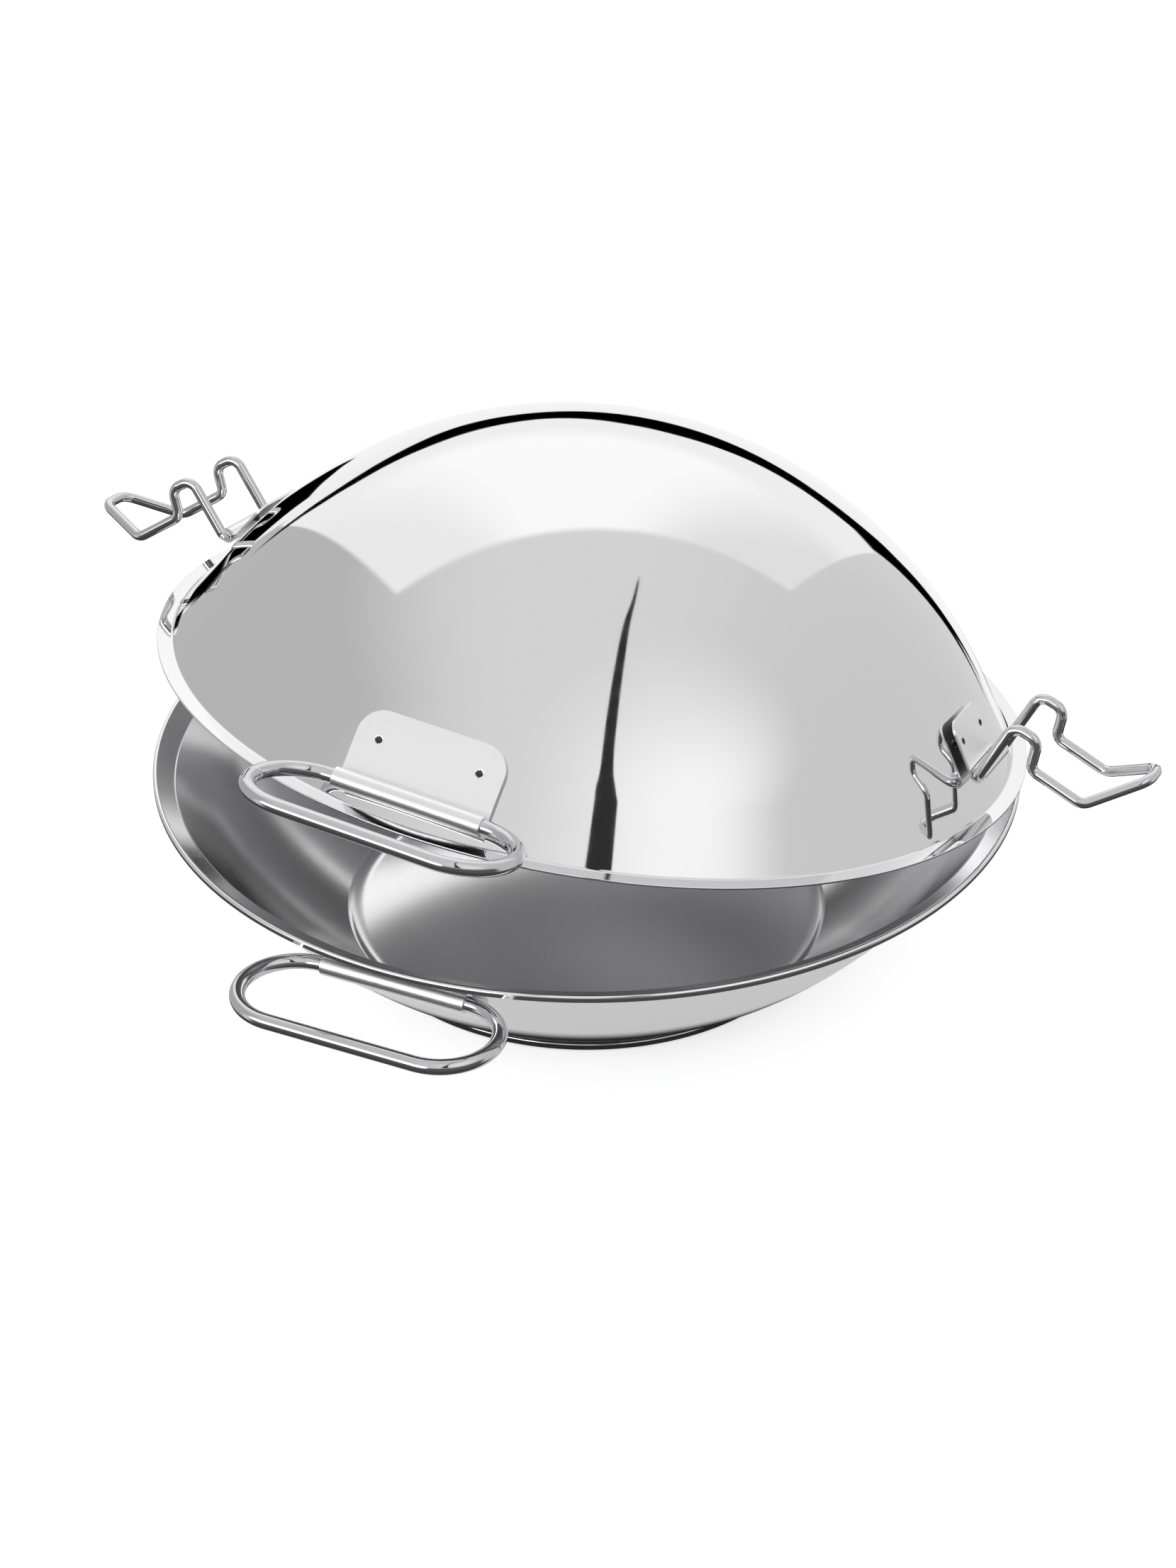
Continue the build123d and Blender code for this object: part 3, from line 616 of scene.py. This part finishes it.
def rolled_plate(name, bore, width, height, radius, weld, gap, materials, place):
    """Plate with a rolled edge, on a grid of rows along the sheet and columns across it. The rows run down the
    flat and round the roll; both faces lie a given distance from the roll's axis, and a smooth dish is pressed
    into them at each weld."""
    roll = bore + SHEET
    arc = np.linspace(0, 90, 9)
    flat = np.r_[height - radius + radius * np.sin(np.radians(arc[::-1])), weld[1] + np.arange(-8, 9) * 0.25,
                 np.linspace(0, height - radius, 12)]
    flat = np.unique(np.round(flat, 4))[::-1]
    turn = np.radians(np.linspace(-90, -360 + ROLL_END, 46))[1:]
    y = np.r_[flat, 0 * turn]
    fine = np.arange(-8, 9) * 0.25
    across = np.unique(np.round(np.r_[np.linspace(-1, 1, 21) * width / 2, weld[0] + fine, fine - weld[0]], 4))
    half = np.where(y > height - radius,
                    width / 2 - radius + np.sqrt(np.maximum(radius ** 2 - (y - height + radius) ** 2, 0)), width / 2)
    w = across[None, :] * (half / (width / 2))[:, None]
    rows, cols = w.shape
    flat_rows = len(flat)
    axis = np.stack([np.r_[np.zeros(flat_rows), np.cos(turn)], np.r_[-np.ones(flat_rows), np.sin(turn)]], -1)
    dish_y, dish_x = y[:, None], np.abs(w) - weld[0]
    far = np.sqrt((dish_y - weld[1]) ** 2 + dish_x ** 2) / 1.5
    dish = np.where((far < 1) & (np.arange(rows) < flat_rows)[:, None], (1 - far ** 2) ** 2, 0)
    slope = np.where(far < 1, -4 * far * (1 - far ** 2) / 1.5, 0) * (np.arange(rows) < flat_rows)[:, None]
    depth = np.array([0.45, max(gap - WELD_GAP, 0.1)])
    verts, norms = [], []
    for side, distance, way in ((0, bore, -1.0), (1, roll, 1.0)):
        p = np.stack([w, y[:, None] + axis[:, :1] * distance * (np.arange(rows) >= flat_rows)[:, None] + 0 * w,
                      axis[:, 1:] * distance - depth[side] * dish], -1)
        # The lower face of the flat bulges with the dish, so both faces share one slope.
        unit = far + 1e-9
        grad_x = slope * depth[side] * np.sign(w) * dish_x / 1.5 / unit
        grad_y = slope * depth[side] * (dish_y - weld[1]) / 1.5 / unit
        n = np.stack([0 * w, way * axis[:, :1] + 0 * w, way * axis[:, 1:] + 0 * w], -1)
        n[..., 0] -= np.where(dish > 0, way * grad_x, 0)
        n[..., 1] -= np.where(dish > 0, way * grad_y, 0)
        n /= np.linalg.norm(n, axis=-1, keepdims=True)
        verts.append(p.reshape(-1, 3))
        norms.append(n.reshape(-1, 3))
    verts, norms = place(np.concatenate(verts), np.concatenate(norms))
    grid = np.arange(rows * cols).reshape(rows, cols)
    other = grid + rows * cols
    sheets = [np.stack([g[:-1, :-1], g[:-1, 1:], g[1:, 1:], g[1:, :-1]], -1).reshape(-1, 4) for g in (grid, other)]
    for q in sheets:
        p = verts[q]
        turned = np.einsum("ij,ij->i", np.cross(p[:, 1] - p[:, 0], p[:, 3] - p[:, 0]), norms[q[:, 0]]) < 0
        q[turned] = q[turned][:, ::-1]
    faces = np.concatenate(sheets)
    corners = [norms[faces].reshape(-1, 3)]
    # Faces in a dish take the second material, which paints the dimple's shade.
    in_dish = np.tile(dish.ravel(), 2)[faces].min(1) > 0.04
    rims = []
    for near, far_line in ((grid[0], other[0]), (grid[-1], other[-1]), (grid[:, 0], other[:, 0]),
                           (grid[:, -1], other[:, -1])):
        rims.append(np.stack([near[:-1], near[1:], far_line[1:], far_line[:-1]], -1))
    rims = np.concatenate(rims)
    p = verts[rims]
    ways = np.cross(p[:, 1] - p[:, 0], p[:, 3] - p[:, 0])
    ways /= np.linalg.norm(ways, axis=1)[:, None]
    # A rim's own direction points away from the sheet's neighbouring grid point.
    inner = verts[np.concatenate([grid[1, :-1], grid[-2, :-1], grid[:-1, 1], grid[:-1, -2]])]
    turned = np.einsum("ij,ij->i", ways, p[:, 0] - inner) < 0
    rims[turned] = rims[turned][:, ::-1]
    ways[turned] *= -1
    corners.append(np.repeat(ways, 4, 0))
    return finish_mesh(name, verts, np.concatenate([faces, rims]).tolist(), np.concatenate(corners), materials,
                       np.r_[in_dish, np.zeros(len(rims))])


def outward_frame(azimuth):
    """Outward and sideways unit vectors at an azimuth round the bowl."""
    a = math.radians(azimuth)
    return np.array([math.cos(a), math.sin(a), 0.0]), np.array([-math.sin(a), math.cos(a), 0.0])


def on_wall(foot, wall, height, offset, azimuth):
    """Axis point over the wall, and the plate's own directions: along the rim, up the wall and off it."""
    out_way, along = outward_frame(azimuth)
    n = facing_out(wall)
    start = np.array(foot) + offset * n
    radius = start[0] - (height - start[1]) / math.tan(math.radians(wall))
    off = out_way * n[0] + np.array([0, 0, n[1]])
    return out_way * radius + np.array([0, 0, height]), np.stack([along, np.cross(off, along), off]), radius


def dish_gap(radius, wall, spacing, height, stand_off):
    """Least gap between the flat plate and the round wall over a weld."""
    curve = (radius - height * math.cos(math.radians(wall))) / math.sin(math.radians(wall))
    return stand_off + curve - math.sqrt(curve ** 2 - (spacing - 1.5) ** 2)


bright_sheet = steel("bright_stainless_sheet", "#fbfbfb", 0.34, 0.04, 0.9, 0.002)
# Stainless painted dark in the weld dimples: painted shade in each dimple's hollow.
dimple_painted_shade = steel("dimple_painted_shade_stainless", "#4c4a49", 0.5, 0.05, 0.6, 0.004)
bright_wire = steel("drawn_stainless_wire", "#d9d9db", 0.08, 0.03, 1.5, 0.001)
pan_foot = np.array([RIM - FLANGE_WIDTH, 0.0])
centre = np.array([RIM - LIP_BEND, LIP_BEND]) - LIP_BEND * facing_out(FLANGE_FALL)
pan_foot[1] = centre[1] + (centre[0] - pan_foot[0]) * math.tan(math.radians(FLANGE_FALL))
pan_foot = pan_foot + SHEET * facing_out(PAN_WALL)
lid_foot = np.array([RIM - LID_FLANGE, SHEET])

half_run = HANDLE_BARREL / 2 + HANDLE_LEAD
bight = HANDLE_DEPTH / 2
loop = route([(-half_run - bight, 0, 0), (half_run + bight, 0, 0), (half_run + bight, HANDLE_DEPTH, 0),
              (-half_run - bight, HANDLE_DEPTH, 0)], [bight] * 4, closed=True)


def handle(label, body, foot, wall, azimuth, rise, seat):
    """One handle: its plate on the wall and its loop in the roll."""
    bore = HANDLE_WIRE / 2 + WIRE_CLEAR
    spot, ways, radius = on_wall(foot, wall, HANDLE_AXIS_HEIGHT, bore + SHEET + WELD_GAP, azimuth)
    gap = dish_gap(radius, wall, HANDLE_WELD[0], HANDLE_WELD[1], WELD_GAP)
    plate = rolled_plate(f"{label}_plate_sheet", bore, HANDLE_BARREL, HANDLE_PLATE_HEIGHT, HANDLE_PLATE_CORNER,
                         HANDLE_WELD, gap, [bright_sheet, dimple_painted_shade], lambda p, n: seat(p @ ways + spot, n @ ways))
    out_way, along = outward_frame(azimuth)
    lift = math.radians(rise)
    reach = math.cos(lift) * out_way + np.array([0, 0, math.sin(lift)])
    turned = np.stack([-along, reach, np.cross(-along, reach)])
    grip = wire(f"{label}_wire", *loop, (0, 0, 1), HANDLE_WIRE, bright_wire,
                lambda p, n: seat(p @ turned + spot, n @ turned), True)
    for piece, cad, slot in ((plate, f"{label}_plate", "plate_steel"), (grip, label, "wire_steel")):
        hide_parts(cad)
        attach(piece, body)


for side, azimuth in (("front", -90), ("rear", 90)):
    handle(f"base_{side}_handle", "base", pan_foot, PAN_WALL, -azimuth, -PAN_HANDLE_RISE, pan_upright)
    handle(f"lid_{side}_handle", "lid", lid_foot, LID_WALL, azimuth, LID_HANDLE_RISE, lid_ajar)

# ---- Clips --------------------------------------------------------------------------------------
# A clip at each side of the lid, bent from one 3.6 mm wire. Its ends turn in the rolled edge of a
# small plate; its hump snaps under the pan's lip, and its tip is the loop for a thumb.
CLIP_WIRE, CLIP_BARREL, CLIP_LEAD, CLIP_ARM_BEND, CLIP_GRIP = 3.6, 26.0, 0.15, 0.3, 10.0
CLIP_PLATE_HEIGHT, CLIP_PLATE_CORNER = 19.0, 4.0
CLIP_WELD = (9.2, 11.5)
CLIP_AXIS_HEIGHT, CLIP_STAND_OFF = 14.2, 1.2
CLIP_TIP_WIDTH = 12.0
CLIP_SIDE = [(0, 0), (8.2, 21.5), (16.9, 18.9), (16.5, 8.8), (35.3, 2.4)]
CLIP_TIP = (52.8, 13.4)
CLIP_BENDS = [4.0, 4.0, 3.4, 5.0, 6.0]
LEFT_SWING = -20.6

arm_bend = CLIP_WIRE / 2 + CLIP_ARM_BEND
arm = CLIP_BARREL / 2 + CLIP_LEAD + arm_bend
half = [(CLIP_BARREL / 2 - CLIP_GRIP, 0, 0)] + [(arm, *p) for p in CLIP_SIDE] + [(CLIP_TIP_WIDTH / 2, *CLIP_TIP)]
bends = [arm_bend] + CLIP_BENDS
clip_route = route(half + [(-x, y, z) for x, y, z in half[::-1]], bends + bends[::-1])


def clip(label, azimuth, swing):
    """One clip: its plate on the lid's wall and its bent wire in the roll."""
    bore = CLIP_WIRE / 2 + WIRE_CLEAR
    spot, ways, radius = on_wall(lid_foot, LID_WALL, CLIP_AXIS_HEIGHT, bore + SHEET + CLIP_STAND_OFF, azimuth)
    gap = dish_gap(radius, LID_WALL, CLIP_WELD[0], CLIP_WELD[1], CLIP_STAND_OFF)
    plate = rolled_plate(f"{label}_plate_sheet", bore, CLIP_BARREL, CLIP_PLATE_HEIGHT, CLIP_PLATE_CORNER,
                         CLIP_WELD, gap, [bright_sheet, dimple_painted_shade], lambda p, n: lid_ajar(p @ ways + spot, n @ ways))
    out_way, along = outward_frame(azimuth)
    lift = math.radians(swing)
    reach = math.cos(lift) * out_way + np.array([0, 0, math.sin(lift)])
    turned = np.stack([-along, reach, np.cross(-along, reach)])
    bent = wire(f"{label}_wire", *clip_route, (-0.7, -0.35, 0.61), CLIP_WIRE, bright_wire,
                lambda p, n: lid_ajar(p @ turned + spot, n @ turned), False, sides=24)
    for piece, cad, body, slot in ((plate, f"{label}_plate", "lid", "plate_steel"),
                                   (bent, label, label, "wire_steel")):
        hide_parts(cad)
        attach(piece, body)


clip("right_clip", 0, 0)
clip("left_clip", 180, LEFT_SWING)

# ---- Close --------------------------------------------------------------------------------------
low, high_corner = CAD_BOX
